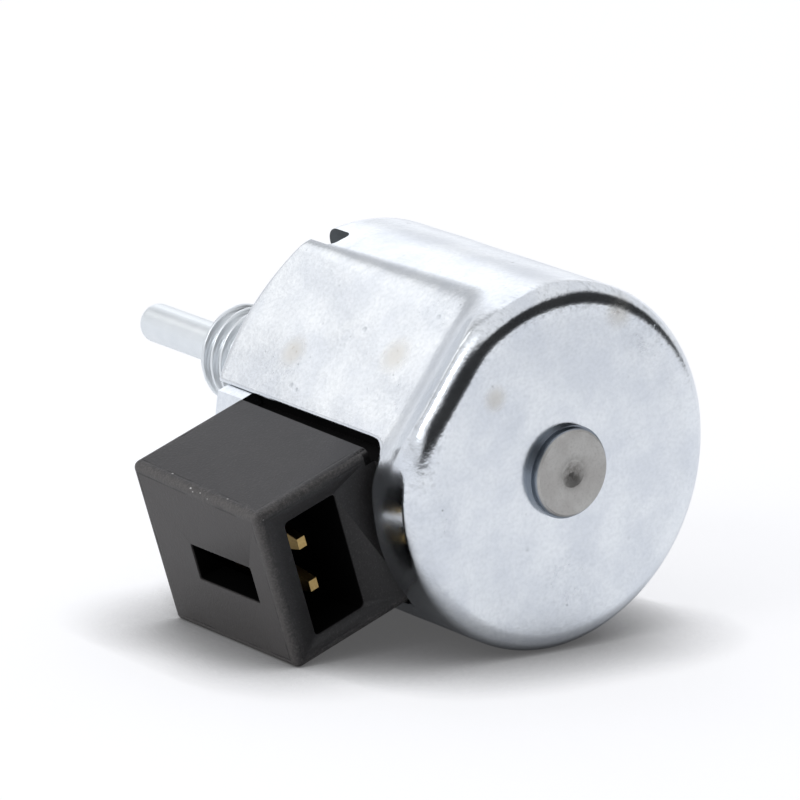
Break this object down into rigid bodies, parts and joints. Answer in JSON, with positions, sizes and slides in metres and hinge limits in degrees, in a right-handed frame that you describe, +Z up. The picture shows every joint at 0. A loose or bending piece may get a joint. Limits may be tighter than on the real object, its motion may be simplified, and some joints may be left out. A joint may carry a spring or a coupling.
{
  "type": "fuel shutoff solenoid",
  "caption": "Solenoid in a round plated steel cup with wrench flats, a threaded neck, a sliding valve pin and a black side connector with blade terminals.",
  "frame": {"origin": "on the solenoid axis, at the neck's seat where the thread begins", "axes": "+Y along the axis towards the pin, +Z up as it lies on the cup and the connector's lower edge, connector towards -X and about 21 degrees below level"},
  "size_m": [0.0337, 0.0471, 0.025],
  "materials": {
    "zinc_plate": "bright zinc plate",
    "turned_steel": "turned, plated",
    "core_steel": "turned, bare",
    "spring_steel": "bright drawn wire",
    "tube_brass": "drawn",
    "terminal_brass": "stamped",
    "winding_copper": "enamelled wire",
    "tape_film": "polyester film",
    "bobbin_nylon": "moulded",
    "seal_rubber": "moulded",
    "housing_plastic": "moulded, fine texture"
  },
  "bodies": {
    "solenoid": {"can": "zinc_plate", "front_plate": "zinc_plate", "threaded_neck": "turned_steel", "fixed_core": "core_steel", "core_seal": "seal_rubber", "neck_seal": "seal_rubber", "guide_tube": "tube_brass", "residual_shim": "tube_brass", "spring_washer": "spring_steel", "bobbin": "bobbin_nylon", "coil_winding": "winding_copper", "winding_tape": "tape_film", "start_lead": "winding_copper", "finish_lead": "winding_copper", "terminal_upper": "terminal_brass", "terminal_lower": "terminal_brass", "connector_housing": "housing_plastic", "return_spring": "spring_steel"},
    "plunger_assembly": {"plunger": "core_steel", "plunger_pin": "turned_steel"}
  },
  "joints": [
    {"name": "plunger_slide", "type": "slide", "parent": "solenoid", "child": "plunger_assembly", "axis": [0, -1, 0], "range_m": [0, 0.0035], "stiffness_N_per_m": 300, "springref_m": -0.0035, "deforming": ["return_spring"]}
  ]
}
